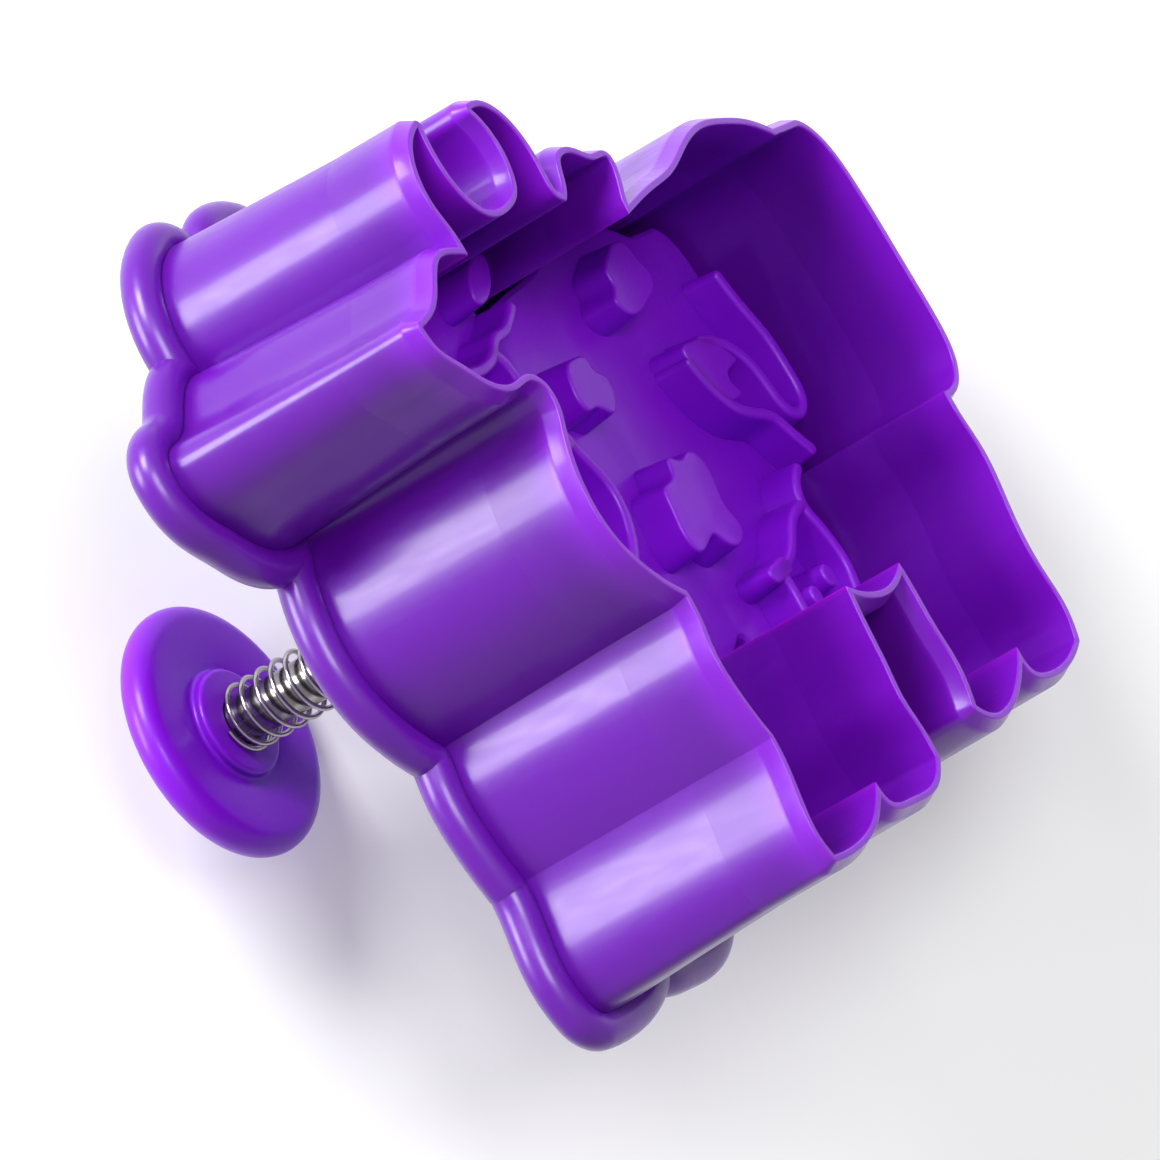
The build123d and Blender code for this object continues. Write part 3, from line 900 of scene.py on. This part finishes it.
looks = {
    "shell_plastic": purple_plastic(
        "shell_plastic", low=(0.103, 0.001, 0.3), high=(0.117, 0.0013, 0.335),
        # The shell's paler edge colour is painted glow, for light shining through the thin wall near the
        # cutting edge
        roughness=(0.31, 0.4), through=0.5, shine=0.48, painted_edge_glow=(0.18, 0.004, 0.48)),
    # The plunger's purple is painted about twice as light as the shell's: painted light standing in for the
    # light on the stamp plate deep in the cavity; the knob shares it
    "plunger_plastic": purple_plastic(
        "plunger_plastic", low=(0.205, 0.0025, 0.58), high=(0.222, 0.003, 0.62),
        roughness=(0.36, 0.44), through=0.3, shine=0.3),
    "pin_steel": steel(
        "pin_steel", low=(0.24, 0.23, 0.23), high=(0.32, 0.31, 0.31),
        roughness=(0.16, 0.28), stretch=(1, 1, 0.05)),
    "spring_steel": steel(
        "spring_steel", low=(0.4, 0.38, 0.37), high=(0.5, 0.48, 0.47),
        roughness=(0.12, 0.22), stretch=(1, 1, 1)),
}
for piece, look in ((shell, "shell_plastic"), (plate, "plunger_plastic"), (knob, "plunger_plastic"),
                    (pin, "pin_steel"), (spring, "spring_steel")):
    piece.data.materials.append(looks[look])
for entry in frame["record"]["subparts"]:
    node = frame["nodes"][entry["node"]]
    node.data.materials.clear()
    node.data.materials.append(looks[entry["material_slot"]])


def camera_axes():
    """The camera's right, up and back directions."""
    tilt = math.radians(view_elevation)
    side = math.radians(view_azimuth)
    roll = math.radians(view_roll)
    back = Vector((math.cos(tilt) * math.cos(side), math.cos(tilt) * math.sin(side), -math.sin(tilt)))
    edge_way = Vector((0, 0, -1))
    edge_way = (edge_way - back * edge_way.dot(back)).normalized()
    cross_way = back.cross(edge_way)
    right = edge_way * math.cos(roll) - cross_way * math.sin(roll)
    up = edge_way * math.sin(roll) + cross_way * math.cos(roll)
    return right, up, back


right, up, back = camera_axes()
origin_in_view = (right * (origin_pixel[0] - photo_middle) - up * (origin_pixel[1] - photo_middle))
camera_place = back * view_distance - origin_in_view * view_distance / focal_pixels
camera_data = bpy.data.cameras.new("camera")
camera_data.sensor_width = sensor_width
camera_data.lens = sensor_width * focal_pixels / photo_size
camera_data.clip_end = farthest_view
camera = bpy.data.objects.new("camera", camera_data)
camera.matrix_world = Matrix.Translation(camera_place) @ Matrix((right, up, back)).transposed().to_4x4()
bpy.context.scene.collection.objects.link(camera)
bpy.context.scene.camera = camera


# Lamps: name, place to the right, up and back of the object as the camera sees it, size, power
lamps = [
    ("key_lamp", (-0.42, 0.6, 0.62), (0.36, 0.36), 9.5),
    ("side_lamp", (-0.92, 0.04, 0.4), (0.46, 0.42), 8),
    ("front_lamp", (0.22, 0.3, 0.9), (0.4, 0.4), 5.5),
]
object_middle = Vector((0, 0, 0.03))


def soft_lamp(name, offset, size, power):
    """A soft studio lamp that looks at the object."""
    data = bpy.data.lights.new(name, "AREA")
    data.shape = "RECTANGLE"
    data.size, data.size_y = size
    data.energy = power
    lamp = bpy.data.objects.new(name, data)
    away = right * offset[0] + up * offset[1] + back * offset[2]
    lamp.matrix_world = (Matrix.Translation(object_middle + away)
                         @ away.to_track_quat("Z", "Y").to_matrix().to_4x4())
    bpy.context.scene.collection.objects.link(lamp)


for lamp_values in lamps:
    soft_lamp(*lamp_values)


# Floor and surroundings, in metres from the object's origin
floor_reach = 2
floor_near = 0.1
floor_far = 0.2
floor_near_grey = 0.82
floor_far_grey = 0.55
floor_glow = 0.08
floor_roughness = 0.9
floor_shine = 0.2
surroundings_level = 0.3
surroundings_glow = 0.3


def joined_math(tree, operation, first, second):
    """A sum node's result, from a socket and either another socket or a number."""
    node = tree.nodes.new("ShaderNodeMath")
    node.operation = operation
    tree.links.new(first, node.inputs[0])
    if isinstance(second, float):
        node.inputs[1].default_value = second
    else:
        tree.links.new(second, node.inputs[1])
    return node.outputs[0]


def white_for_camera(tree, lit, amount):
    """Light that only the camera, reflections and clear matter see, added to a lit shader."""
    path = tree.nodes.new("ShaderNodeLightPath")
    seen = joined_math(tree, "MAXIMUM", path.outputs["Is Camera Ray"], path.outputs["Is Glossy Ray"])
    seen = joined_math(tree, "MAXIMUM", seen, path.outputs["Is Transmission Ray"])
    strength = joined_math(tree, "MULTIPLY", seen, amount)
    glow = tree.nodes.new("ShaderNodeEmission")
    tree.links.new(strength, glow.inputs["Strength"])
    both = tree.nodes.new("ShaderNodeAddShader")
    tree.links.new(lit, both.inputs[0])
    tree.links.new(glow.outputs[0], both.inputs[1])
    return both.outputs[0]


def studio_floor():
    """The pale table that the cutter lies on, touching its bead and its knob."""
    shell_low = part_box("cutter_shell")[0]
    bead = Vector((shell_low.x + bead_radius * MM, 0, bead_height * MM))
    rim = Vector(((pin_x - knob_radius + knob_edge_radius) * MM, 0, knob_height * MM))
    along = (rim - bead).normalized()
    normal = Vector((along.z, 0, -along.x))
    low_point = bead - normal * bead_radius * MM
    mesh = bmesh.new()
    sideways = Vector((0, 1, 0))
    corners = [low_point + (along * a + sideways * b) * floor_reach
               for a, b in ((-1, -1), (1, -1), (1, 1), (-1, 1))]
    mesh.faces.new([mesh.verts.new(corner) for corner in corners])
    data = bpy.data.meshes.new("studio_floor")
    mesh.to_mesh(data)
    mesh.free()
    floor = bpy.data.objects.new("studio_floor", data)
    bpy.context.scene.collection.objects.link(floor)
    nodes = Nodes("floor_paper")
    nodes.shader.inputs["Roughness"].default_value = floor_roughness
    nodes.shader.inputs["Specular IOR Level"].default_value = floor_shine
    geometry = nodes.add("ShaderNodeNewGeometry")
    distance = nodes.add("ShaderNodeVectorMath", operation="LENGTH")
    nodes.link(geometry.outputs["Position"], distance.inputs[0])
    near = nodes.mapped(distance.outputs["Value"], (floor_near, floor_far), (1, 0), "SMOOTHSTEP")
    nodes.link(nodes.ramp(near, (floor_far_grey,) * 3, (floor_near_grey,) * 3),
               nodes.shader.inputs["Base Color"])
    amount = joined_math(nodes.tree, "MULTIPLY", near, floor_glow)
    lit = white_for_camera(nodes.tree, nodes.shader.outputs[0], amount)
    clear = nodes.add("ShaderNodeBsdfTransparent")
    one_sided = nodes.add("ShaderNodeMixShader")
    nodes.link(geometry.outputs["Backfacing"], one_sided.inputs["Fac"])
    nodes.link(lit, one_sided.inputs[1])
    nodes.link(clear.outputs[0], one_sided.inputs[2])
    nodes.link(one_sided.outputs[0], nodes.tree.nodes["Material Output"].inputs["Surface"])
    data.materials.append(nodes.material)
    if data.polygons[0].normal.dot(normal) < 0:
        data.flip_normals()


studio_floor()

world = bpy.data.worlds.new("studio")
bpy.context.scene.world = world
world.use_nodes = True
surroundings = world.node_tree.nodes["Background"]
surroundings.inputs["Color"].default_value = (1, 1, 1, 1)
surroundings.inputs["Strength"].default_value = surroundings_level
bright = white_for_camera(world.node_tree, surroundings.outputs[0], surroundings_glow)
world.node_tree.links.new(bright, world.node_tree.nodes["World Output"].inputs["Surface"])

bpy.context.scene.view_settings.view_transform = "Standard"
